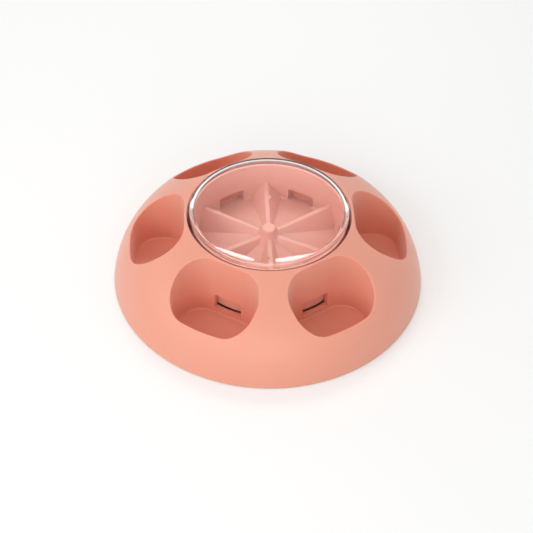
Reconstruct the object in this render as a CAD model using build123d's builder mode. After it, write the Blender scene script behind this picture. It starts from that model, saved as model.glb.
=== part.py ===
from build123d import *
import os
from math import cos, radians, sin, sqrt, tan

# Push button treat dispenser for dogs and cats: a domed housing with six treat pockets round a
# central well. A hopper with a clear lid rides in the well on a spring. Pressing the lid lowers
# the hopper until its exits meet the windows of the pockets, and treats slide out.
# Millimetres. Origin at the centre of the underside, where the feet rest, +Z up.

# ---- driving dimensions: housing -------------------------------------------------------
base_radius = 135.0          # outer radius at the foot of the dome
floor_clearance = 0.8        # the dome's edge stands this far above the table
wall = 2.4                   # moulded wall of the housing
well_radius = 69.6           # bore of the central well
well_rim_height = 68.9       # top edge of the well above the table
crown_slope = 19.0           # fall of the dome beside the well, degrees from level
crown_share = 0.7187         # how far the crown keeps that slope, of the width from well to foot
flank_draft = 9.4            # lean of the dome at its foot, degrees from upright
flank_share = 0.3891         # how far the flank keeps that lean, of the dome's height
rim_rounding = 0.75          # rounding of the edges of well and pockets

# ---- driving dimensions: pockets and windows -------------------------------------------
pocket_count = 6
pocket_floor_height = 8.6    # treat tray above the table
pocket_draft = 4.0           # moulding draft of a pocket's sides and outer wall, degrees
window_draft = 1.5           # moulding draft of the wall towards the well, degrees
well_to_pocket = 1.91        # wall between the well's bore and a pocket, at the rim
pocket_to_edge = 17.9        # from the pocket wall to the dome's foot, at the tray
pocket_half_width = 34.1
inner_corner_share = 0.478   # radius of a pocket's corners, of the length of its straight sides
outer_corner_share = 0.4985
tray_rounding = 1.6          # fillet between tray and pocket wall
window_width = 25.0
window_height = 15.0
window_sill = 4.9            # lower edge of the window above the tray

# ---- driving dimensions: push action ---------------------------------------------------
stroke = 10.5                # travel of the button
well_clearance = 1.0         # shutter skirt to the well's bore
stop_gap = 0.6               # skirt above the base plate when fully pressed

# ---- driving dimensions: lid -----------------------------------------------------------
lid_well_gap = 2.3           # open ring round the lid
lid_rise = 4.4               # lid top above the well's rim
lid_wall = 1.5
lid_top_thickness = 1.8
lid_edge_radius = 2.2        # rounded edge of the lid
lid_skirt_depth = 14.4
lid_fit = 0.3                # lid skirt to the hopper's collar

# ---- driving dimensions: hopper --------------------------------------------------------
hopper_wall = 2.0
collar_wall = 1.7
collar_drop = 7.4            # hopper rim below the lid's top
seat_thickness = 1.6         # ring round the collar that the lid stands on
bowl_draft = 2.0             # degrees
exit_height = 12.0
trough_slope = 12.3          # fall of the trough floor towards the exits, degrees
hub_height = 50.0            # hub top above the table
hub_top_radius = 5.6
hub_base_radius = 9.8
rib_height = 46.0            # rib crest above the table, at the bowl's wall
rib_slope = 2.0              # fall of the crest towards the hub, degrees
rib_crest_width = 3.6
rib_flank = 38.0             # lean of the rib's flanks, degrees from upright
rib_rounding = 1.5
rim_chamfer = 0.5            # broken edges of collar rim and hub top
floor_blend = 2.5            # fillet between bowl wall and trough floor
hub_blend = 12.0             # fillet between hub and trough floor

# ---- driving dimensions: base plate and feet -------------------------------------------
plate_thickness = 2.4
plate_recess = 0.5           # plate underside above the dome's edge
plate_fit = 0.6              # plate edge to the dome's wall
plate_rib_height = 3.0
plate_rib_width = 1.6
boss_inset = 23.0            # screw bosses, from the dome's foot; they stand between the pockets
boss_radius = 4.2
tower_radius = 6.5
tower_height = 2.0
foot_inset = 17.0            # feet, from the dome's foot
foot_radius = 7.0
foot_height = 2.0
foot_fit = 0.1
foot_chamfer = 0.4

# ---- driving dimensions: screws --------------------------------------------------------
screw_radius = 1.5
screw_length = 10.0          # shank
screw_head_radius = 3.4
screw_head_height = 2.0
screw_fit = 0.05             # shank to pilot hole
head_clearance = 0.5
recess_width = 0.9           # cross recess in the head
recess_depth = 1.0

# ---- driving dimensions: guides and return spring --------------------------------------
guide_count = 2
guide_offset = 37.0          # guide pins hang under two of the ribs
guide_pin_radius = 4.0
guide_fit = 0.3
guide_length = 3.4
sleeve_wall = 1.5
washer_radius = 5.6
washer_thickness = 0.8
washer_play = 0.2
screw_floor_gap = 1.5        # retaining screw above the table when fully pressed
spring_radius = 11.6         # mean radius of the coil
spring_wire = 1.4            # wire diameter
spring_turns = 7
wire_sides = 8               # the round wire is drawn with this many flats
spring_play = 0.1
post_wall = 2.0
post_height = 8.0            # spring posts on base plate and hopper
seat_depth = 0.6             # spring's flat seat below the hopper's sloping floor

# ---- derived levels and radii ----------------------------------------------------------
half_step = 180 / pocket_count                       # ribs and bosses lie between the pockets
guide_start = 3 * half_step                          # the guides lie along Y, under ribs
boss_circle = base_radius - boss_inset
foot_circle = base_radius - foot_inset
crown_reach = crown_share * (base_radius - well_radius)
flank_reach = flank_share * (well_rim_height - floor_clearance)

plate_radius = base_radius - wall / cos(radians(flank_draft)) - plate_fit
plate_bottom = floor_clearance + plate_recess
plate_top = plate_bottom + plate_thickness
boss_bottom = plate_top + tower_height
tube_bottom = plate_top + stop_gap / 2
head_seat = plate_bottom + head_clearance + screw_head_height

pocket_depth = well_rim_height - pocket_floor_height
pocket_inner = well_radius + well_to_pocket + pocket_depth * tan(radians(window_draft))
pocket_outer = base_radius - pocket_to_edge
pocket_side = sqrt(pocket_outer**2 - pocket_half_width**2) - pocket_inner
mouth_height = well_rim_height + wall                # pockets are drawn up to this level
window_bottom = pocket_floor_height + window_sill
window_top = window_bottom + window_height
window_depth = pocket_inner - well_radius + 2 * wall

lid_radius = well_radius - lid_well_gap
lid_top = well_rim_height + lid_rise
lid_bottom = lid_top - lid_skirt_depth
collar_radius = lid_radius - lid_wall - lid_fit
bowl_radius = collar_radius - collar_wall
hopper_rim = lid_top - collar_drop

trough_lip = window_top                              # the exits are shut until the lid is pressed
exit_top = trough_lip + exit_height
skirt_radius = well_radius - well_clearance
skirt_inner = skirt_radius - hopper_wall
skirt_bottom = plate_top + stroke + stop_gap
skirt_shoulder = skirt_radius - collar_radius        # height and width of the sloping shoulder
skirt_top = exit_top + hopper_wall + skirt_shoulder

washer_top = screw_floor_gap + screw_head_height + washer_thickness + stroke
sleeve_shoulder = washer_top + washer_play
guide_top = sleeve_shoulder + guide_length
sleeve_bore = washer_radius + head_clearance
guide_bore = guide_pin_radius + guide_fit
post_radius = spring_radius - spring_wire
spring_seat_radius = spring_radius + spring_wire

UPWARDS = (Align.CENTER, Align.CENTER, Align.MIN)
DOWNWARDS = (Align.CENTER, Align.CENTER, Align.MAX)
OUTWARDS = (Align.MIN, Align.CENTER, Align.MIN)


def trough_floor(radius):
    """Height of the trough floor, which falls from the hub to the exits."""
    return trough_lip + (skirt_radius - radius) * tan(radians(trough_slope))


def trough_under(radius):
    """Height of the underside of the trough floor."""
    return trough_floor(radius) - hopper_wall / cos(radians(trough_slope))


def bowl_inner(height):
    """Inner radius of the bowl, which narrows downwards with its draft."""
    return bowl_radius - (hopper_rim - height) * tan(radians(bowl_draft))


def rib_crest(radius):
    """Height of the rib's crest, which falls a little towards the hub."""
    return rib_height - (bowl_radius - radius) * tan(radians(rib_slope))


def corner(sketch, x, y):
    """The sketch vertex nearest to a point."""
    return sketch.vertices().sort_by_distance((x, y))[0]


os.makedirs("parts", exist_ok=True)

# ---- housing ---------------------------------------------------------------------------
# Section of the dome: the crown falls gently from the well and turns down into the flank.
crown_dir = Vector(cos(radians(crown_slope)), -sin(radians(crown_slope)))
flank_dir = Vector(-sin(radians(flank_draft)), cos(radians(flank_draft)))
crown_start = Vector(well_radius, well_rim_height)
flank_end = Vector(base_radius, floor_clearance)
crown_handle = crown_start + crown_dir * crown_reach
flank_handle = flank_end + flank_dir * flank_reach
tail_length = 3 * wall                               # the section runs on below the underside
between_pockets = Vector(cos(radians(half_step)), sin(radians(half_step)), 0)
dome_plane = Plane(
    (0, 0, 0), x_dir=between_pockets, z_dir=between_pockets.cross(Vector(0, 0, 1))
)


def end_curvature(end, direction, reach, far_handle):
    """Curvature of the dome's cubic curve at one of its ends."""
    return 2 / 3 * abs(direction.cross(far_handle - end).Z) / reach**2


def dome_face(inset):
    """Section under a curve parallel to the dome and inset from it, from well to flank."""
    crown_bend = end_curvature(crown_start, crown_dir, crown_reach, flank_handle)
    flank_bend = end_curvature(flank_end, flank_dir, flank_reach, crown_handle)
    top = crown_start + Vector(crown_dir.Y, -crown_dir.X) * inset
    foot = flank_end + Vector(-flank_dir.Y, flank_dir.X) * inset
    tail = foot - flank_dir * tail_length
    with BuildSketch(dome_plane) as section:
        with BuildLine():
            Bezier(
                top,
                top + crown_dir * crown_reach * (1 - inset * crown_bend),
                foot + flank_dir * flank_reach * (1 - inset * flank_bend),
                foot,
            )
            Polyline(foot, tail, (top.X, tail.Y), top)
        make_face()
        with Locations((well_radius + inset, tail.Y)):
            Rectangle(base_radius, base_radius, align=(Align.MIN, Align.MIN), mode=Mode.INTERSECT)
    return section.sketch


def pocket_outline(height, skin):
    """Outline of a pocket at a height: straight towards the well, an arc towards the edge.
    A skin makes it the outline of the moulded cup round the pocket."""
    rise = height - pocket_floor_height
    lean = rise * tan(radians(pocket_draft)) + skin
    inner = pocket_inner - rise * tan(radians(window_draft)) - skin
    with BuildSketch(Plane.XY.offset(height)) as outline:
        with Locations((inner, 0)):
            Rectangle(
                base_radius, 2 * (pocket_half_width + lean), align=(Align.MIN, Align.CENTER)
            )
        Circle(pocket_outer + lean, mode=Mode.INTERSECT)
        fillet(outline.vertices().group_by(Axis.X)[0], inner_corner_share * pocket_side + lean)
        fillet(outline.vertices().group_by(Axis.X)[-1], outer_corner_share * pocket_side + lean)
    return outline.sketch


with BuildPart() as pocket:
    add(pocket_outline(pocket_floor_height, 0))
    add(pocket_outline(mouth_height, 0))
    loft(ruled=True)
    fillet(pocket.faces().sort_by(Axis.Z)[0].edges(), tray_rounding)

# The moulded cup round a pocket, with the web that joins it to the well round its window.
with BuildPart() as cup:
    add(pocket_outline(pocket_floor_height - wall, wall))
    add(pocket_outline(mouth_height, wall))
    loft(ruled=True)
    with Locations((well_radius - wall, 0, 0)):
        Box(window_depth, 2 * window_width, well_rim_height - wall, align=OUTWARDS)

# Hollow under the dome: its section one wall inside, less the cups and the screw bosses.
with BuildPart() as hollow:
    add(dome_face(wall))
    revolve(axis=Axis.Z)
    with PolarLocations(0, pocket_count):
        add(cup.part, mode=Mode.SUBTRACT)
    with Locations((0, 0, boss_bottom)):
        with PolarLocations(boss_circle, pocket_count, start_angle=half_step):
            Cylinder(boss_radius, well_rim_height, align=UPWARDS, mode=Mode.SUBTRACT)

with BuildPart() as housing:
    add(dome_face(0))
    revolve(axis=Axis.Z)
    add(hollow.part, mode=Mode.SUBTRACT)
    with PolarLocations(0, pocket_count):
        add(pocket.part, mode=Mode.SUBTRACT)
    # underside: the dome's edge stands lowest, well and webs end above the base plate
    with Locations((0, 0, floor_clearance)):
        Cylinder(2 * base_radius, 2 * tail_length, align=DOWNWARDS, mode=Mode.SUBTRACT)
    with Locations((0, 0, tube_bottom)):
        Cylinder(plate_radius - wall, 2 * tail_length, align=DOWNWARDS, mode=Mode.SUBTRACT)
    # windows from the well into the pockets
    with Locations((0, 0, window_bottom)):
        with PolarLocations(well_radius - wall, pocket_count):
            Box(window_depth, window_width, window_height, align=OUTWARDS, mode=Mode.SUBTRACT)
    # pilot holes for the base screws
    with Locations((0, 0, boss_bottom)):
        with PolarLocations(boss_circle, pocket_count, start_angle=half_step):
            Cylinder(screw_radius + screw_fit, screw_length, align=UPWARDS, mode=Mode.SUBTRACT)
    dome_skin = housing.faces().sort_by(SortBy.AREA)[-1]
    fillet([rim.edges() for rim in dome_skin.inner_wires()], rim_rounding)
    fillet(housing.edges().filter_by(GeomType.CIRCLE).group_by(Axis.Z)[-1], rim_rounding)
housing.part.label = "housing"
export_step(housing.part, "parts/housing.step")

# ---- base plate ------------------------------------------------------------------------
# Closes the housing from below. Above it stand screw towers, the spring's post, two guide
# sleeves and stiffening ribs; beneath are the screws' counterbores and the feet's recesses.
plate_rib_start = spring_seat_radius + wall
plate_rib_length = skirt_inner - 2 * wall - plate_rib_start
with BuildPart() as base_plate:
    with Locations((0, 0, plate_bottom)):
        Cylinder(plate_radius, plate_thickness, align=UPWARDS)
        Cylinder(post_radius, plate_thickness + post_height, align=UPWARDS)
        with PolarLocations(plate_rib_start, pocket_count):
            Box(
                plate_rib_length, plate_rib_width, plate_thickness + plate_rib_height, align=OUTWARDS
            )
        with PolarLocations(boss_circle, pocket_count, start_angle=half_step):
            Cylinder(tower_radius, boss_bottom - plate_bottom, align=UPWARDS)
        with PolarLocations(guide_offset, guide_count, start_angle=guide_start):
            Cylinder(
                sleeve_bore + sleeve_wall,
                sleeve_shoulder + sleeve_wall - plate_bottom,
                align=UPWARDS,
            )
            Cylinder(guide_bore + sleeve_wall, guide_top - plate_bottom, align=UPWARDS)
    with Locations((0, 0, plate_top)):
        Cylinder(post_radius - post_wall, post_height, align=UPWARDS, mode=Mode.SUBTRACT)
    with Locations((0, 0, plate_bottom)):
        # sleeves: a wide bore for screw and washer, and the guide bore above it
        with PolarLocations(guide_offset, guide_count, start_angle=guide_start):
            Cylinder(
                sleeve_bore, sleeve_shoulder - plate_bottom, align=UPWARDS, mode=Mode.SUBTRACT
            )
            Cylinder(guide_bore, guide_top, align=UPWARDS, mode=Mode.SUBTRACT)
        # screw holes with counterbores for the heads
        with PolarLocations(boss_circle, pocket_count, start_angle=half_step):
            Cylinder(screw_radius + guide_fit, boss_bottom, align=UPWARDS, mode=Mode.SUBTRACT)
            Cylinder(
                screw_head_radius + head_clearance,
                head_seat - plate_bottom,
                align=UPWARDS,
                mode=Mode.SUBTRACT,
            )
        # recesses for the feet
        with PolarLocations(foot_circle, pocket_count):
            Cylinder(foot_radius, foot_height - plate_bottom, align=UPWARDS, mode=Mode.SUBTRACT)
base_plate.part.label = "base_plate"
export_step(base_plate.part, "parts/base_plate.step")

# ---- hopper ----------------------------------------------------------------------------
# A bowl whose floor falls from a hub to six exits, with ribs that part it into troughs. Its
# floor runs on as a flange, which carries the shutter ring.
bowl_foot = bowl_inner(trough_lip)
rib_end = bowl_inner(rib_height) + collar_wall / 2
core_start = spring_seat_radius + hopper_wall        # the ribs are hollow from here
core_end = bowl_foot - hopper_wall
rib_foot = rib_height - trough_lip + hopper_wall     # depth of the rib's section
flank_spread = tan(radians(rib_flank))


def rib_plane(radius):
    """Plane across a rib at a radius, with its origin on the crest, facing the hub."""
    slope = radians(rib_slope)
    return Plane(
        (radius, 0, rib_crest(radius)), x_dir=(0, -1, 0), z_dir=(-cos(slope), 0, -sin(slope))
    )


def rib_corners(inset):
    """Corners of the rib's section, inset for the hollow beneath it, crest first."""
    crest_half = rib_crest_width / 2 + inset * (flank_spread - 1 / cos(radians(rib_flank)))
    foot_half = crest_half + (rib_foot - inset) * flank_spread
    return [
        (-crest_half, -inset),
        (crest_half, -inset),
        (foot_half, -rib_foot),
        (-foot_half, -rib_foot),
    ]


with BuildPart() as rib:
    with BuildSketch(rib_plane(rib_end)) as rib_section:
        with BuildLine():
            Polyline(*rib_corners(0), close=True)
        make_face()
        fillet(rib_section.vertices().group_by(Axis.Y)[-1], rib_rounding)
    extrude(amount=rib_end - hub_top_radius / 2)
    Cylinder(bowl_radius + collar_wall / 2, 2 * hub_height, mode=Mode.INTERSECT)

with BuildPart() as rib_core:
    with BuildSketch(rib_plane(core_end)):
        with BuildLine():
            Polyline(*rib_corners(hopper_wall), close=True)
        make_face()
    extrude(amount=core_end - core_start)

# Space under the trough floor, the hub and the ribs.
with BuildPart() as hopper_hollow:
    with BuildSketch(Plane.XZ):
        with BuildLine():
            Polyline(
                (0, skirt_bottom),
                (skirt_inner, skirt_bottom),
                (skirt_inner, trough_under(skirt_inner)),
                (hub_base_radius - hopper_wall, trough_under(hub_base_radius)),
                (hub_top_radius - hopper_wall, hub_height - hopper_wall),
                (0, hub_height - hopper_wall),
                close=True,
            )
        make_face()
    revolve(axis=Axis.Z)
    with PolarLocations(0, pocket_count, start_angle=half_step):
        add(rib_core.part)

# Opening of an exit, whose floor carries on the slope of the trough.
exit_start = bowl_foot - floor_blend
exit_end = skirt_radius + well_clearance
with BuildPart() as exit_opening:
    with BuildSketch(Plane.XZ):
        with BuildLine():
            Polyline(
                (exit_start, trough_floor(exit_start)),
                (exit_end, trough_floor(exit_end)),
                (exit_end, exit_top),
                (exit_start, exit_top),
                close=True,
            )
        make_face()
    extrude(amount=window_width / 2, both=True)

spring_seat = trough_under(spring_seat_radius) - seat_depth
with BuildPart() as hopper:
    with BuildSketch(Plane.XZ) as bowl_section:
        with BuildLine():
            Polyline(
                (0, skirt_bottom),
                (skirt_inner, skirt_bottom),
                (skirt_inner, trough_floor(skirt_inner)),
                (collar_radius, trough_floor(collar_radius)),
                (collar_radius, lid_bottom - seat_thickness),
                (lid_radius, lid_bottom - seat_thickness),
                (lid_radius, lid_bottom),
                (collar_radius, lid_bottom),
                (collar_radius, hopper_rim),
                (bowl_radius, hopper_rim),
                (bowl_foot, trough_floor(bowl_foot)),
                (hub_base_radius, trough_floor(hub_base_radius)),
                (hub_top_radius, hub_height),
                (0, hub_height),
                close=True,
            )
        make_face()
        fillet(corner(bowl_section, bowl_foot, trough_floor(bowl_foot)), floor_blend)
        fillet(corner(bowl_section, hub_base_radius, trough_floor(hub_base_radius)), hub_blend)
        chamfer(corner(bowl_section, hub_top_radius, hub_height), rim_chamfer)
        chamfer(corner(bowl_section, bowl_radius, hopper_rim), rim_chamfer)
    revolve(axis=Axis.Z)
    with PolarLocations(0, pocket_count, start_angle=half_step):
        add(rib.part)
    add(hopper_hollow.part, mode=Mode.SUBTRACT)
    with PolarLocations(0, pocket_count):
        add(exit_opening.part, mode=Mode.SUBTRACT)
    # seat and post of the return spring, under the hub
    with BuildSketch(Plane.XZ):
        with BuildLine():
            Polyline(
                (post_radius - post_wall, spring_seat - post_height),
                (post_radius, spring_seat - post_height),
                (post_radius, spring_seat),
                (spring_seat_radius, spring_seat),
                (spring_seat_radius, trough_under(spring_seat_radius) + seat_depth),
                (post_radius - post_wall, trough_under(post_radius) + seat_depth),
                close=True,
            )
        make_face()
    revolve(axis=Axis.Z)
    # guide pins with the retaining screws' pilot holes
    with Locations((0, 0, washer_top)):
        with PolarLocations(guide_offset, guide_count, start_angle=guide_start):
            Cylinder(
                guide_pin_radius,
                rib_crest(guide_offset) - 2 * hopper_wall - washer_top,
                align=UPWARDS,
            )
            Cylinder(screw_radius + screw_fit, screw_length, align=UPWARDS, mode=Mode.SUBTRACT)
hopper.part.label = "hopper"
export_step(hopper.part, "parts/hopper.step")

# ---- shutter ring ----------------------------------------------------------------------
# Slides in the well with the hopper and shuts the pockets' windows while the button is up. It
# stands on the hopper's floor flange, and its sloping shoulder closes in on the bowl.
shoulder_drop = hopper_wall * sqrt(2)                # thickness of the sloping wall, upright
with BuildPart() as shutter_ring:
    with BuildSketch(Plane.XZ):
        with BuildLine():
            Polyline(
                (skirt_inner, skirt_bottom),
                (skirt_radius, skirt_bottom),
                (skirt_radius, skirt_top - skirt_shoulder),
                (collar_radius, skirt_top),
                (collar_radius, skirt_top - shoulder_drop),
                (skirt_inner, skirt_top - shoulder_drop - (skirt_inner - collar_radius)),
                close=True,
            )
        make_face()
    revolve(axis=Axis.Z)
    with PolarLocations(0, pocket_count):
        add(exit_opening.part, mode=Mode.SUBTRACT)
shutter_ring.part.label = "shutter_ring"
export_step(shutter_ring.part, "parts/shutter_ring.step")

# ---- push lid --------------------------------------------------------------------------
# The clear lid is the push button. Its skirt slips over the hopper's collar.
with BuildPart() as push_lid:
    with BuildSketch(Plane.XZ) as lid_section:
        with BuildLine():
            Polyline(
                (0, lid_top),
                (lid_radius, lid_top),
                (lid_radius, lid_bottom),
                (lid_radius - lid_wall, lid_bottom),
                (lid_radius - lid_wall, lid_top - lid_top_thickness),
                (0, lid_top - lid_top_thickness),
                close=True,
            )
        make_face()
        fillet(corner(lid_section, lid_radius, lid_top), lid_edge_radius)
        fillet(
            corner(lid_section, lid_radius - lid_wall, lid_top - lid_top_thickness),
            lid_edge_radius - lid_wall,
        )
    revolve(axis=Axis.Z)
push_lid.part.label = "push_lid"
export_step(push_lid.part, "parts/push_lid.step")

# ---- return spring ---------------------------------------------------------------------
# Compression spring with a closed coil at each end.
spring_bottom = plate_top + spring_wire / 2
spring_span = spring_seat - spring_play - spring_wire / 2 - spring_bottom
with BuildPart() as return_spring:
    with BuildLine(Plane.XY.offset(spring_bottom)) as coil:
        Helix(pitch=spring_span / spring_turns, height=spring_span, radius=spring_radius)
    with BuildSketch(Plane(coil.line @ 0, z_dir=coil.line % 0)):
        RegularPolygon(spring_wire / 2, wire_sides)
    sweep()
    with BuildSketch(Plane.XZ):
        with Locations((spring_radius, spring_bottom), (spring_radius, spring_bottom + spring_span)):
            RegularPolygon(spring_wire / 2, wire_sides)
    revolve(axis=Axis.Z)
return_spring.part.label = "return_spring"
export_step(return_spring.part, "parts/return_spring.step")


# ---- screws, washers and feet ----------------------------------------------------------
def pan_head_screw(shank):
    """Screw that points up, with its head under z = 0 and a cross recess in the head."""
    with BuildPart() as screw:
        Cylinder(screw_head_radius, screw_head_height, align=DOWNWARDS)
        chamfer(screw.edges().sort_by(Axis.Z)[0], screw_head_height / 3)
        Cylinder(screw_radius, shank, align=UPWARDS)
        chamfer(screw.edges().sort_by(Axis.Z)[-1], screw_radius / 3)
        with Locations((0, 0, -screw_head_height)):
            Box(screw_head_radius, recess_width, 2 * recess_depth, mode=Mode.SUBTRACT)
            Box(recess_width, screw_head_radius, 2 * recess_depth, mode=Mode.SUBTRACT)
    return screw.part


guide_places = PolarLocations(guide_offset, guide_count, start_angle=guide_start)
for number, place in enumerate(guide_places, start=1):
    with BuildPart() as retaining_washer:
        with Locations(place * Location((0, 0, washer_top))):
            Cylinder(washer_radius, washer_thickness, align=DOWNWARDS)
            Cylinder(
                screw_radius + guide_fit, washer_thickness, align=DOWNWARDS, mode=Mode.SUBTRACT
            )
    retaining_washer.part.label = f"retaining_washer_{number}"
    export_step(retaining_washer.part, f"parts/retaining_washer_{number}.step")

    with BuildPart() as retaining_screw:
        with Locations(place * Location((0, 0, washer_top - washer_thickness))):
            add(pan_head_screw(screw_length))
    retaining_screw.part.label = f"retaining_screw_{number}"
    export_step(retaining_screw.part, f"parts/retaining_screw_{number}.step")

base_screw_shank = boss_bottom + screw_length - head_seat - screw_radius / 2
boss_places = PolarLocations(boss_circle, pocket_count, start_angle=half_step)
for number, place in enumerate(boss_places, start=1):
    with BuildPart() as base_screw:
        with Locations(place * Location((0, 0, head_seat))):
            add(pan_head_screw(base_screw_shank))
    base_screw.part.label = f"base_screw_{number}"
    export_step(base_screw.part, f"parts/base_screw_{number}.step")

foot_places = PolarLocations(foot_circle, pocket_count)
for number, place in enumerate(foot_places, start=1):
    with BuildPart() as rubber_foot:
        with Locations(place):
            Cylinder(foot_radius - foot_fit, foot_height, align=UPWARDS)
        chamfer(rubber_foot.edges().group_by(Axis.Z)[0], foot_chamfer)
    rubber_foot.part.label = f"rubber_foot_{number}"
    export_step(rubber_foot.part, f"parts/rubber_foot_{number}.step")
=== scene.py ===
"""Looks of the push button treat dispenser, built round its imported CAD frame."""

from math import cos, pi, radians, sin, tan

import bmesh
import bpy
from mathutils import Matrix, Vector
from mathutils.bvhtree import BVHTree


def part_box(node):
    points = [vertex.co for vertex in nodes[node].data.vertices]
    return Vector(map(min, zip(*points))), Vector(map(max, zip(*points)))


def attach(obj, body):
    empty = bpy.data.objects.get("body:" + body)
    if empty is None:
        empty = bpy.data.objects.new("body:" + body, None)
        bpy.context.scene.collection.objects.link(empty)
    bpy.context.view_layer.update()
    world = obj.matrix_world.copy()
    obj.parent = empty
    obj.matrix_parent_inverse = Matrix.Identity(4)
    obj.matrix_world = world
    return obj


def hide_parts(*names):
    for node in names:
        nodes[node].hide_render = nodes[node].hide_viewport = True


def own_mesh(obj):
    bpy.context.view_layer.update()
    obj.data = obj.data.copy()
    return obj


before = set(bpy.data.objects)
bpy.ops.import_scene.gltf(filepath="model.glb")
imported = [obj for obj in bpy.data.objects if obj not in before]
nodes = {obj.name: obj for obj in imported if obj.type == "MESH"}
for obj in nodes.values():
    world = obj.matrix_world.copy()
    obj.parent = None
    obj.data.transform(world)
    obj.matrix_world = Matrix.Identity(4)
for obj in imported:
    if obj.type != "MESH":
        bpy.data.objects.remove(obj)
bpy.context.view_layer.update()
MM = 0.001

# ---- helpers ---------------------------------------------------------------------------


def to_linear(hex_colour):
    """sRGB hex to the linear colour that a shader takes."""
    shares = [int(hex_colour[i:i + 2], 16) / 255 for i in (1, 3, 5)]
    return [s / 12.92 if s <= 0.04045 else ((s + 0.055) / 1.055) ** 2.4 for s in shares] + [1]


def add_node(tree, kind, inputs=None, **settings):
    """Adds a node. inputs gives each socket its value, or the socket that feeds it."""
    made = tree.nodes.new(kind)
    for name, value in settings.items():
        setattr(made, name, value)
    for name, value in (inputs or {}).items():
        if isinstance(value, bpy.types.NodeSocket):
            tree.links.new(value, made.inputs[name])
        else:
            made.inputs[name].default_value = value
    return made


def new_material(name):
    """A material with an empty node tree, and that tree."""
    material = bpy.data.materials.new(name)
    material.use_nodes = True
    material.node_tree.nodes.clear()
    return material, material.node_tree


def show(tree, shader):
    """Makes a shader what the material shows."""
    add_node(tree, "ShaderNodeOutputMaterial", {"Surface": shader})


def dress(names, material):
    """Gives CAD nodes their finish."""
    for name in names:
        nodes[name].data.materials.clear()
        nodes[name].data.materials.append(material)


def mesh_piece(name, mesh, material, body, replaced=None):
    """Puts a finished bmesh into the scene as a piece, which may stand for a CAD node."""
    data = bpy.data.meshes.new(name)
    mesh.to_mesh(data)
    mesh.free()
    data.materials.append(material)
    piece = bpy.data.objects.new(name, data)
    bpy.context.scene.collection.objects.link(piece)
    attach(piece, body)
    if replaced:
        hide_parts(replaced)
    return piece


# ---- camera ----------------------------------------------------------------------------
CAMERA_AT = Vector((-0.03992, -0.70000, 0.70341))
CAMERA_LOOK = Vector((0.03896, 0.70678, -0.70636))
CAMERA_ROLL = radians(1.21)
FOCAL_LENGTH = 75.73                      # mm on a 36 mm wide sensor

camera_data = bpy.data.cameras.new("camera")
camera_data.lens = FOCAL_LENGTH
camera_data.sensor_width = 36
camera_data.clip_start = 0.01
camera = bpy.data.objects.new("camera", camera_data)
bpy.context.scene.collection.objects.link(camera)
camera.matrix_world = (
    Matrix.Translation(CAMERA_AT)
    @ CAMERA_LOOK.to_track_quat("-Z", "Y").to_matrix().to_4x4()
    @ Matrix.Rotation(CAMERA_ROLL, 4, "Z")
)
bpy.context.scene.camera = camera

# ---- materials -------------------------------------------------------------------------
FLOW_MM = 60          # the melt's flow leaves clouds of this size in the colour
SCATTER_MM = 4        # how far red light wanders inside the tinted plastic
GRAIN_MM = 1.2        # real eroded grain is 0.2 mm, drawn coarser so that it shows
GATE_GRAIN_MM = 0.4
NYLON_GRAIN_MM = 0.8
RUBBER_GRAIN_MM = 0.9
POLISH_MM = 4         # patches of slightly different polish on the lid
WIRE_STREAK_MM = 0.5
PLATING_MM = 0.4
SPECK_CELL_MM = 16    # one cell in a few of this size holds a burnt grain
SPECK_MM = 0.45
SPECK_CORE = 0.5      # share of a speck's radius that is evenly dark
SPECK_STRENGTH = 0.6
SPECKED_SHARE = 0.3
NOISE_LOW = 0.3       # a noise's values lie mostly between these two
NOISE_HIGH = 0.7
GLOSS_SPREAD = 0.04   # roughness varies by this much on plastic
METAL_SPREAD = 0.08

ABS_PINK = ("#E99A82", "#EB9E86")
# the hopper's own pink, painted paler and greyer: painted light for the lid's milky haze and
# the light in the bowl
ABS_ROSE_WITH_PAINTED_LIGHT = ("#E6AB9B", "#E8AF9F")
SPECK_BROWN = "#8A4A38"


def speckled(tree, place, skin):
    """Burnt grains in the melt: tiny dark specks, far apart."""
    cells = add_node(
        tree, "ShaderNodeTexVoronoi", {"Vector": place, "Scale": 1 / (SPECK_CELL_MM * MM)}
    )
    inside = add_node(
        tree, "ShaderNodeMapRange",
        {"Value": cells.outputs["Distance"], "From Min": SPECK_CORE * SPECK_MM / SPECK_CELL_MM,
         "From Max": SPECK_MM / SPECK_CELL_MM, "To Min": SPECK_STRENGTH, "To Max": 0},
    )
    chosen = add_node(
        tree, "ShaderNodeMath",
        {0: cells.outputs["Color"], 1: SPECKED_SHARE}, operation="LESS_THAN",
    )
    share = add_node(
        tree, "ShaderNodeMath",
        {0: inside.outputs["Result"], 1: chosen.outputs[0]}, operation="MULTIPLY",
    )
    mixed = add_node(
        tree, "ShaderNodeMix",
        {"Factor": share.outputs[0], "A": skin, "B": to_linear(SPECK_BROWN)},
        data_type="RGBA",
    )
    return mixed.outputs["Result"]


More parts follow.
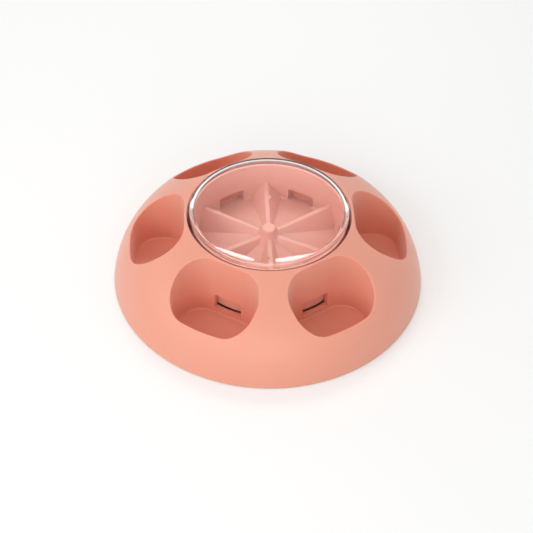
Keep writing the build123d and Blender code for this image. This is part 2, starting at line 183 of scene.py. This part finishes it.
def moulded_plastic(
    name, colour, roughness, grain_mm, grain_depth_mm, sheen=0, depth=0, specks=False
):
    """Moulded plastic: an even colour, a fine eroded grain and a slightly uneven gloss.

    sheen is the pale bloom at grazing sight, depth the share of light that sinks in.
    """
    material, tree = new_material(name)
    place = add_node(tree, "ShaderNodeTexCoord").outputs["Object"]
    grain = add_node(
        tree, "ShaderNodeTexNoise",
        {"Vector": place, "Scale": 1 / (grain_mm * MM), "Detail": 3, "Roughness": 0.6},
    )
    cloud = add_node(
        tree, "ShaderNodeTexNoise",
        {"Vector": place, "Scale": 1 / (FLOW_MM * MM), "Detail": 2, "Roughness": 0.5},
    )
    tint = add_node(
        tree, "ShaderNodeMix",
        {"Factor": cloud.outputs["Fac"], "A": to_linear(colour[0]), "B": to_linear(colour[1])},
        data_type="RGBA",
    )
    skin = tint.outputs["Result"]
    if specks:
        skin = speckled(tree, place, skin)
    gloss = add_node(
        tree, "ShaderNodeMapRange",
        {"Value": grain.outputs["Fac"], "From Min": NOISE_LOW, "From Max": NOISE_HIGH,
         "To Min": roughness - GLOSS_SPREAD, "To Max": roughness + GLOSS_SPREAD},
    )
    bump = add_node(
        tree, "ShaderNodeBump",
        {"Height": grain.outputs["Fac"], "Strength": 1, "Distance": grain_depth_mm * MM},
    )
    shader = add_node(
        tree, "ShaderNodeBsdfPrincipled",
        {"Base Color": skin, "Roughness": gloss.outputs["Result"],
         "IOR": 1.53, "Sheen Weight": sheen, "Sheen Roughness": 0.5,
         "Subsurface Weight": depth, "Subsurface Radius": (1.0, 0.2, 0.08),
         "Subsurface Scale": SCATTER_MM * MM,
         "Normal": bump.outputs["Normal"]},
    )
    show(tree, shader.outputs[0])
    return material


# ABS, moulded in a spark-eroded mould: soft matt skin whose highlights spread wide.
abs_matt = moulded_plastic(
    "ABS_moulded_matt_pink", ABS_PINK, 0.46, GRAIN_MM, 0.012, sheen=0.3, depth=0.3, specks=True
)
# ABS, moulded in a smoother mould: treats slide on it, so its highlights are tighter.
# Its pink is painted paler and greyer than the housing's: painted light for the lid's milky
# haze and the light in the bowl.
abs_satin = moulded_plastic(
    "ABS_moulded_satin_pink", ABS_ROSE_WITH_PAINTED_LIGHT, 0.38, GRAIN_MM, 0.006, sheen=0.05, depth=0.3
)
# ABS scorched where the melt was forced through the gate: darker and redder.
abs_gate = moulded_plastic(
    "ABS_scorched_at_gate", ("#9A4634", "#A04C39"), 0.5, GATE_GRAIN_MM, 0.004
)
# Nylon, moulded in its natural colour: waxy off-white with a soft shine.
nylon = moulded_plastic(
    "nylon_moulded_natural", ("#EEEADF", "#F1EEE5"), 0.4, NYLON_GRAIN_MM, 0.004
)
# Thermoplastic rubber, moulded soft: pale and quite matt, with hardly a highlight.
rubber = moulded_plastic(
    "TPE_moulded_soft", ("#E6E2DC", "#E9E6E1"), 0.75, RUBBER_GRAIN_MM, 0.01
)


def clear_plastic(name):
    """Clear plastic from a polished mould: glossy and hardly hazy. Lamps shine through it."""
    material, tree = new_material(name)
    place = add_node(tree, "ShaderNodeTexCoord").outputs["Object"]
    wear = add_node(
        tree, "ShaderNodeTexNoise",
        {"Vector": place, "Scale": 1 / (POLISH_MM * MM), "Detail": 4, "Roughness": 0.7},
    )
    gloss = add_node(
        tree, "ShaderNodeMapRange",
        {"Value": wear.outputs["Fac"], "From Min": 0.35, "From Max": 0.75,
         "To Min": 0.0, "To Max": 0.02},
    )
    glass = add_node(
        tree, "ShaderNodeBsdfPrincipled",
        {"Base Color": to_linear("#FBF8F8"), "Roughness": gloss.outputs["Result"],
         "IOR": 1.57, "Transmission Weight": 1},
    )
    passing = add_node(tree, "ShaderNodeBsdfTransparent", {"Color": to_linear("#F4F0F0")})
    path = add_node(tree, "ShaderNodeLightPath")
    lit = add_node(
        tree, "ShaderNodeMixShader",
        {0: path.outputs["Is Shadow Ray"], 1: glass.outputs[0], 2: passing.outputs[0]},
    )
    show(tree, lit.outputs[0])
    return material


# SAN, moulded and polished: clear as glass, with crisp reflections and bright edges.
san_clear = clear_plastic("SAN_moulded_clear")


def metal(name, colour, roughness, streak_mm):
    """Bare or plated steel: bright, with fine streaks from drawing or heading."""
    material, tree = new_material(name)
    place = add_node(tree, "ShaderNodeTexCoord").outputs["Object"]
    streaks = add_node(
        tree, "ShaderNodeTexNoise",
        {"Vector": place, "Scale": 1 / (streak_mm * MM), "Detail": 3, "Roughness": 0.6},
    )
    gloss = add_node(
        tree, "ShaderNodeMapRange",
        {"Value": streaks.outputs["Fac"], "From Min": NOISE_LOW, "From Max": NOISE_HIGH,
         "To Min": roughness - METAL_SPREAD, "To Max": roughness + METAL_SPREAD},
    )
    shader = add_node(
        tree, "ShaderNodeBsdfPrincipled",
        {"Base Color": to_linear(colour), "Metallic": 1, "Roughness": gloss.outputs["Result"]},
    )
    show(tree, shader.outputs[0])
    return material


# Spring steel, drawn to wire: a warm grey shine with fine streaks.
spring_steel = metal("spring_steel_drawn", "#B4B2AE", 0.28, WIRE_STREAK_MM)
# Steel, zinc plated: a cooler, lighter grey with a slightly cloudy shine.
zinc_steel = metal("steel_zinc_plated", "#C9CBD0", 0.3, PLATING_MM)

dress(["housing", "base_plate"], abs_matt)
dress(["hopper", "shutter_ring"], abs_satin)
dress([n for n in nodes if n.startswith("rubber_foot")], rubber)
dress([n for n in nodes if n.startswith("retaining_washer")], nylon)
dress([n for n in nodes if "screw" in n], zinc_steel)

# ---- clear lid -------------------------------------------------------------------------
lid_low, lid_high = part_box("push_lid")
LID_RADIUS = lid_high.x
LID_WALL = 1.5 * MM
LID_TOP_THICKNESS = 1.8 * MM
LID_EDGE = 2.2 * MM
LID_LIP = 0.3 * MM                        # the lower rim's edges are broken by this much
LID_STEPS = 256
ROUND_STEPS = 64                          # steps round small lathed pieces
EDGE_STEPS = 12
SMALL_EDGE_STEPS = 6
LIP_STEPS = 3
BEVEL_WIDTH = 2.3 * MM                    # the top thickens to the wall over this width
BEVEL_SLOPE = 26                          # degrees
BEVEL_CORNER = 0.8 * MM
HOLD = 0.05 * MM                          # rings this close to a rounding keep flat faces flat


def quarter(centre, radius, start, end, steps=EDGE_STEPS):
    """Points of an arc in a lathe's section, angles in degrees from level."""
    return [
        (centre[0] + radius * cos(radians(start + (end - start) * i / steps)),
         centre[1] + radius * sin(radians(start + (end - start) * i / steps)))
        for i in range(steps + 1)
    ]


def plain(radius, height, angle):
    """The relief of a lathed form that has none."""
    return radius, height


def lathe(section, steps, centre=(0, 0), relief=plain):
    """Turns a section of (radius, height) points about an upright axis, as a smooth mesh.

    relief moves each point, given its radius, height and angle, and returns radius and height.
    """
    mesh = bmesh.new()
    rings = []
    for radius, height in section:
        ring = []
        for i in range(steps if radius else 1):
            angle = 2 * pi * i / steps
            out, up = relief(radius, height, angle)
            ring.append(mesh.verts.new(
                (centre[0] + out * cos(angle), centre[1] + out * sin(angle), up)
            ))
        rings.append(ring)
    for low, high in zip(rings, rings[1:]):
        for i in range(steps):
            j = (i + 1) % steps
            corners = [
                low[i % len(low)], low[j % len(low)], high[j % len(high)], high[i % len(high)]
            ]
            face = mesh.faces.new(dict.fromkeys(corners))
            face.smooth = True
    bmesh.ops.recalc_face_normals(mesh, faces=mesh.faces)
    return mesh


lid_inner = LID_RADIUS - LID_WALL
lid_ceiling = lid_high.z - LID_TOP_THICKNESS
bevel_foot = lid_inner - BEVEL_CORNER * (1 - sin(radians(BEVEL_SLOPE)))
bevel_low = lid_ceiling - BEVEL_WIDTH * tan(radians(BEVEL_SLOPE))
corner_height = bevel_low - BEVEL_CORNER * cos(radians(BEVEL_SLOPE))
lid_section = (
    [(0, lid_high.z), (LID_RADIUS - LID_EDGE - HOLD, lid_high.z)]
    + quarter((LID_RADIUS - LID_EDGE, lid_high.z - LID_EDGE), LID_EDGE, 90, 0)
    + [(LID_RADIUS, lid_high.z - LID_EDGE - HOLD), (LID_RADIUS, lid_low.z + LID_LIP + HOLD)]
    + quarter((LID_RADIUS - LID_LIP, lid_low.z + LID_LIP), LID_LIP, 0, -90, LIP_STEPS)
    + quarter((lid_inner + LID_LIP, lid_low.z + LID_LIP), LID_LIP, -90, -180, LIP_STEPS)
    + [(lid_inner, lid_low.z + LID_LIP + HOLD), (lid_inner, corner_height - HOLD)]
    + quarter(
        (lid_inner - BEVEL_CORNER, corner_height), BEVEL_CORNER, 0, 90 - BEVEL_SLOPE,
        SMALL_EDGE_STEPS,
    )
    + [
        (bevel_foot - HOLD, bevel_low + HOLD * tan(radians(BEVEL_SLOPE))),
        (bevel_foot - BEVEL_WIDTH + HOLD, lid_ceiling - HOLD * tan(radians(BEVEL_SLOPE))),
        (bevel_foot - BEVEL_WIDTH, lid_ceiling),
        (bevel_foot - BEVEL_WIDTH - HOLD, lid_ceiling),
        (0, lid_ceiling),
    ]
)
lid = lathe(lid_section, LID_STEPS)
mesh_piece("clear_lid", lid, san_clear, "lid", "push_lid")

# ---- screws ----------------------------------------------------------------------------
HEAD_HEIGHT = 2.0 * MM
HEAD_ROUNDING = 0.8 * MM
SHANK_RADIUS = 1.5 * MM
TIP_LENGTH = 1.6 * MM
THREAD_DEPTH = 0.35 * MM
THREAD_PITCH = 1.3 * MM
CROSS_REACH = 1.9 * MM                    # length of an arm of the cross recess
CROSS_WIDTH = 1.1 * MM
CROSS_DEPTH = 1.3 * MM
CROSS_EDGE = (0.8, 1.15)                  # its walls rise between these shares of an arm
THREAD_SHARE = 0.6                        # of the pitch, taken by the thread's flanks
TIP_SHARE = 0.3                           # of the shank's radius, left at the blunt tip
FACE_SHARE = 0.75                         # of the head's height, within which its face lies
FACE_RINGS = 16
THREAD_RINGS = 10                         # rings to each turn of the thread


def smooth_step(low, high, value):
    """0 below low, 1 above high, and an even curve between."""
    share = min(max((value - low) / (high - low), 0), 1)
    return share * share * (3 - 2 * share)


def screw_mesh(low, high):
    """Self-tapping screw with its pan head down, a cross recess and a thread."""
    head_radius = (high.x - low.x) / 2
    head_top = low.z + HEAD_HEIGHT
    tip_start = high.z - TIP_LENGTH
    turns = (tip_start - head_top) / THREAD_PITCH
    rings = int(turns * THREAD_RINGS)

    def relief(radius, height, angle):
        if height < low.z + FACE_SHARE * HEAD_HEIGHT and radius < head_radius - HEAD_ROUNDING:
            across, along = sorted((abs(radius * cos(angle)), abs(radius * sin(angle))))
            arm = max(across / (CROSS_WIDTH / 2), along / CROSS_REACH)
            slope = 1 - radius / (2 * CROSS_REACH)
            return radius, height + CROSS_DEPTH * slope * (1 - smooth_step(*CROSS_EDGE, arm))
        if head_top < height < tip_start:
            turn = (height / THREAD_PITCH - angle / (2 * pi)) % 1
            crest = max(0, 1 - abs(2 * turn - 1) / THREAD_SHARE)
            return radius - THREAD_DEPTH * (1 - crest), height
        return radius, height

    face_radius = head_radius - HEAD_ROUNDING
    section = [(face_radius * i / FACE_RINGS, low.z) for i in range(FACE_RINGS + 1)]
    head_edge = (face_radius, low.z + HEAD_ROUNDING)
    section += quarter(head_edge, HEAD_ROUNDING, -90, 0, SMALL_EDGE_STEPS)[1:]
    section += [(head_radius, head_top), (SHANK_RADIUS, head_top)]
    section += [
        (SHANK_RADIUS, head_top + (tip_start - head_top) * i / rings) for i in range(1, rings)
    ]
    section += [
        (SHANK_RADIUS - THREAD_DEPTH, tip_start),
        (TIP_SHARE * SHANK_RADIUS, high.z),
        (0, high.z),
    ]
    middle = ((low.x + high.x) / 2, (low.y + high.y) / 2)
    return lathe(section, ROUND_STEPS, middle, relief)


for name in [n for n in nodes if "screw" in n]:
    body = "base" if name.startswith("base") else "button"
    screw = screw_mesh(*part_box(name))
    mesh_piece(f"threaded_{name}", screw, zinc_steel, body, name)

# ---- feet ------------------------------------------------------------------------------
FOOT_ROUNDING = 0.6 * MM
DIMPLE_RADIUS = 1.2 * MM                  # left by the gate of the foot's mould
DIMPLE_DEPTH = 0.3 * MM
DIMPLE_FLOOR = 0.6                        # share of the dimple's radius that is flat


def foot_mesh(low, high):
    """Moulded foot with a rounded lower edge and the dimple of its gate."""
    radius = (high.x - low.x) / 2
    section = [
        (0, low.z + DIMPLE_DEPTH),
        (DIMPLE_FLOOR * DIMPLE_RADIUS, low.z + DIMPLE_DEPTH),
        (DIMPLE_RADIUS, low.z),
        (radius - FOOT_ROUNDING - HOLD, low.z),
    ]
    edge = (radius - FOOT_ROUNDING, low.z + FOOT_ROUNDING)
    section += quarter(edge, FOOT_ROUNDING, -90, 0, SMALL_EDGE_STEPS)
    section += [(radius, high.z - HOLD), (radius, high.z), (0, high.z)]
    return lathe(section, ROUND_STEPS, ((low.x + high.x) / 2, (low.y + high.y) / 2))


for name in [n for n in nodes if n.startswith("rubber_foot")]:
    foot = foot_mesh(*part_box(name))
    mesh_piece(f"moulded_{name}", foot, rubber, "base", name)

# ---- moulding marks on the hopper's ribs -----------------------------------------------
hopper = nodes["hopper"]
hopper_skin = BVHTree.FromPolygons(
    [hopper.matrix_world @ v.co for v in hopper.data.vertices],
    [p.vertices for p in hopper.data.polygons],
)


def rib_top(x, y):
    """Height of the hopper's skin below the lid at a place."""
    return hopper_skin.ray_cast(Vector((x, y, lid_low.z)), Vector((0, 0, -1)))[0].z


PAD_AT = (1.6 * MM, 44.6 * MM)            # where an ejector pin pushed, on the rib's crest
PAD_RADIUS = 2.6 * MM
PAD_RIM = 0.6 * MM
PAD_SINK = 0.35 * MM                      # the pad's face below its rim
PAD_RISE = 0.15 * MM
PAD_DEPTH = 5.5 * MM
NUB_TOP = 0.2                             # the nub in the middle, in shares of the pad's radius
NUB_FOOT = 0.35
NUB_SINK = 0.2 * PAD_SINK
RIM_BREAK = 0.3 * PAD_RIM                 # the rim's edges are broken by this much
pad_top = rib_top(0, PAD_AT[1]) + PAD_RISE
pad_section = [
    (0, pad_top - NUB_SINK),
    (NUB_TOP * PAD_RADIUS, pad_top - NUB_SINK),
    (NUB_FOOT * PAD_RADIUS, pad_top - PAD_SINK),
    (PAD_RADIUS - PAD_RIM, pad_top - PAD_SINK),
    (PAD_RADIUS - PAD_RIM + RIM_BREAK, pad_top),
    (PAD_RADIUS - RIM_BREAK, pad_top),
    (PAD_RADIUS, pad_top - RIM_BREAK),
    (PAD_RADIUS, pad_top - PAD_DEPTH),
    (0, pad_top - PAD_DEPTH),
]
pad = lathe(pad_section, ROUND_STEPS, PAD_AT)
mesh_piece("ejector_pad", pad, abs_satin, "button")

GATE_AT = (-1.2 * MM, -32 * MM)           # where the melt entered the hopper's mould
GATE_RADIUS = 0.8 * MM
GATE_RISE = 0.12 * MM
GATE_ROOT = 4 * GATE_RISE                 # how far the mark reaches into the rib
GATE_FLAT = 0.6                           # share of the mark's radius that is flat
GATE_STEPS = 32
gate_top = rib_top(*GATE_AT) + GATE_RISE
gate_section = [
    (0, gate_top),
    (GATE_FLAT * GATE_RADIUS, gate_top),
    (GATE_RADIUS, gate_top - GATE_RISE),
    (GATE_RADIUS, gate_top - GATE_ROOT),
    (0, gate_top - GATE_ROOT),
]
gate = lathe(gate_section, GATE_STEPS, GATE_AT)
mesh_piece("gate_mark", gate, abs_gate, "button")

# ---- return spring ---------------------------------------------------------------------
spring_low, spring_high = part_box("return_spring")
WIRE_RADIUS = 0.7 * MM
COIL_RADIUS = 11.6 * MM
COIL_TURNS = 7
CLOSED_TURNS = 1.0                        # turns that lie flat at each end
STEPS_A_TURN = 48
WIRE_STEPS = 14


def coil_point(turn, turns, low, high):
    """A point of the coil's middle line, with closed turns at both ends."""
    wire = 2 * WIRE_RADIUS
    total = turns + 2 * CLOSED_TURNS
    rise = (high - low - 2 * wire * CLOSED_TURNS) / turns
    if turn < CLOSED_TURNS:
        height = low + wire * turn
    elif turn < total - CLOSED_TURNS:
        height = low + wire * CLOSED_TURNS + rise * (turn - CLOSED_TURNS)
    else:
        height = high - wire * (total - turn)
    return Vector((COIL_RADIUS * cos(2 * pi * turn), COIL_RADIUS * sin(2 * pi * turn), height))


def coil_mesh(low, high):
    """A tube along the coil, with a flat face at each end of the wire."""
    mesh = bmesh.new()
    open_turns = COIL_TURNS - 2 * CLOSED_TURNS
    count = int(COIL_TURNS * STEPS_A_TURN)
    path = [coil_point(COIL_TURNS * i / count, open_turns, low, high) for i in range(count + 1)]
    rings = []
    for i, point in enumerate(path):
        along = (path[min(i + 1, count)] - path[max(i - 1, 0)]).normalized()
        out = Vector((point.x, point.y, 0)).normalized()
        side = along.cross(out)
        rings.append([
            mesh.verts.new(point + WIRE_RADIUS * (out * cos(a) + side * sin(a)))
            for a in (2 * pi * k / WIRE_STEPS for k in range(WIRE_STEPS))
        ])
    for ring, following in zip(rings, rings[1:]):
        for k in range(WIRE_STEPS):
            m = (k + 1) % WIRE_STEPS
            mesh.faces.new((ring[k], ring[m], following[m], following[k])).smooth = True
    mesh.faces.new(rings[0])
    mesh.faces.new(rings[-1])
    bmesh.ops.recalc_face_normals(mesh, faces=mesh.faces)
    return mesh


coil = mesh_piece(
    "return_coil", coil_mesh(spring_low.z + WIRE_RADIUS, spring_high.z - WIRE_RADIUS),
    spring_steel, "base", "return_spring",
)
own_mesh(coil)

# ---- stage and light -------------------------------------------------------------------
FLOOR_RADIUS = 6.0
FLOOR_STEPS = 96
floor_mesh = bmesh.new()
bmesh.ops.create_circle(floor_mesh, cap_ends=True, segments=FLOOR_STEPS, radius=FLOOR_RADIUS)
floor_data = bpy.data.meshes.new("floor")
floor_mesh.to_mesh(floor_data)
floor_mesh.free()
floor = bpy.data.objects.new("floor", floor_data)
bpy.context.scene.collection.objects.link(floor)

# White paper, uncoated: matt, and lifted to the eye so that only the object's shadow shows.
PAPER_LIFT = 0.10
paper, tree = new_material("paper_white_matt")
path = add_node(tree, "ShaderNodeLightPath")
matt = add_node(tree, "ShaderNodeBsdfDiffuse", {"Color": to_linear("#F3F3F2")})
lift = add_node(
    tree, "ShaderNodeEmission", {"Color": to_linear("#FFFFFF"), "Strength": PAPER_LIFT}
)
raised = add_node(tree, "ShaderNodeAddShader", {0: matt.outputs[0], 1: lift.outputs[0]})
seen = add_node(
    tree, "ShaderNodeMixShader",
    {0: path.outputs["Is Camera Ray"], 1: matt.outputs[0], 2: raised.outputs[0]},
)
show(tree, seen.outputs[0])
floor_data.materials.append(paper)


LAMP_DISTANCE = 1.6


def soft_box(name, azimuth, elevation, size, power, roll=0):
    """A square studio lamp that faces the object. Azimuth is from -Y towards +X, in degrees."""
    lamp = bpy.data.lights.new(name, "AREA")
    lamp.shape = "SQUARE"
    lamp.size = size
    lamp.energy = power
    box = bpy.data.objects.new(name, lamp)
    away = Vector((
        sin(radians(azimuth)) * cos(radians(elevation)),
        -cos(radians(azimuth)) * cos(radians(elevation)),
        sin(radians(elevation)),
    ))
    box.matrix_world = (
        Matrix.Translation(away * LAMP_DISTANCE)
        @ away.to_track_quat("Z", "Y").to_matrix().to_4x4()
        @ Matrix.Rotation(radians(roll), 4, "Z")
    )
    bpy.context.scene.collection.objects.link(box)


# two small lamps high behind the object, which the front edge of the lid mirrors as slivers
soft_box("overhead_right", 165.8, 51.8, 0.3, 2, roll=17.8)
soft_box("overhead_left", -171, 51.0, 0.3, 2, roll=-25.1)
# large soft lamps that shape the dome and light the bowl
soft_box("top", 0, 89, 0.8, 2.3)
soft_box("key_left", -65, 34, 0.8, 5.3)
soft_box("fill_front", 0, 22, 0.8, 4.5)
soft_box("fill_front_left", -35, 22, 0.8, 2)

# What gloss and clear plastic see of the studio. Each zone eases from one strength to the
# other while the sight's direction goes from one value to the other on its axis.
ZONES = (
    # name, axis, from, to, strength before, strength after
    ("wall", "Z", 0.60, 0.665, 2.2, 0.33),     # white wall behind, dimmer at its top
    ("base", "Z", 0.30, 0.58, 0.4, 1.0),       # the wall is darker near the floor
    ("room", "Z", 0.684, 0.692, 1.0, 0.15),    # dark room over the wall
    ("ceiling", "Z", 0.73, 0.80, 0.0, 0.5),    # grey ceiling
    ("front", "Y", -0.45, -0.05, 0.8, 0.0),    # pale studio on the camera's side
)
FILL_STRENGTH = 0.58                      # even light from all sides on matt faces
BACKDROP_STRENGTH = 1.0                   # white to the camera

world = bpy.data.worlds.new("studio")
world.use_nodes = True
bpy.context.scene.world = world
tree = world.node_tree
tree.nodes.clear()
path = add_node(tree, "ShaderNodeLightPath")
direction = add_node(tree, "ShaderNodeTexCoord").outputs["Generated"]
ways = add_node(tree, "ShaderNodeSeparateXYZ", {"Vector": direction})
zone = {}
for name, axis, start, end, before, after in ZONES:
    zone[name] = add_node(
        tree, "ShaderNodeMapRange",
        {"Value": ways.outputs[axis], "From Min": start, "From Max": end,
         "To Min": before, "To Max": after},
        interpolation_type="SMOOTHSTEP",
    ).outputs["Result"]
wall = add_node(
    tree, "ShaderNodeMath", {0: zone["wall"], 1: zone["room"]}, operation="MULTIPLY"
)
behind = add_node(
    tree, "ShaderNodeMath", {0: wall.outputs[0], 1: zone["base"], 2: zone["ceiling"]},
    operation="MULTIPLY_ADD",
)
around = add_node(
    tree, "ShaderNodeMath", {0: behind.outputs[0], 1: zone["front"]}, operation="ADD"
)
gloss_or_glass = add_node(
    tree, "ShaderNodeMath",
    {0: path.outputs["Is Glossy Ray"], 1: path.outputs["Is Transmission Ray"]},
    operation="MAXIMUM",
)
fill = add_node(
    tree, "ShaderNodeMix",
    {"Factor": gloss_or_glass.outputs[0], "A": FILL_STRENGTH, "B": around.outputs[0]},
)
bright = add_node(
    tree, "ShaderNodeMix",
    {"Factor": path.outputs["Is Camera Ray"], "A": fill.outputs["Result"],
     "B": BACKDROP_STRENGTH},
)
sky = add_node(
    tree, "ShaderNodeBackground",
    {"Color": to_linear("#FFFFFF"), "Strength": bright.outputs["Result"]},
)
add_node(tree, "ShaderNodeOutputWorld", {"Surface": sky.outputs[0]})

bpy.context.scene.view_settings.view_transform = "Standard"
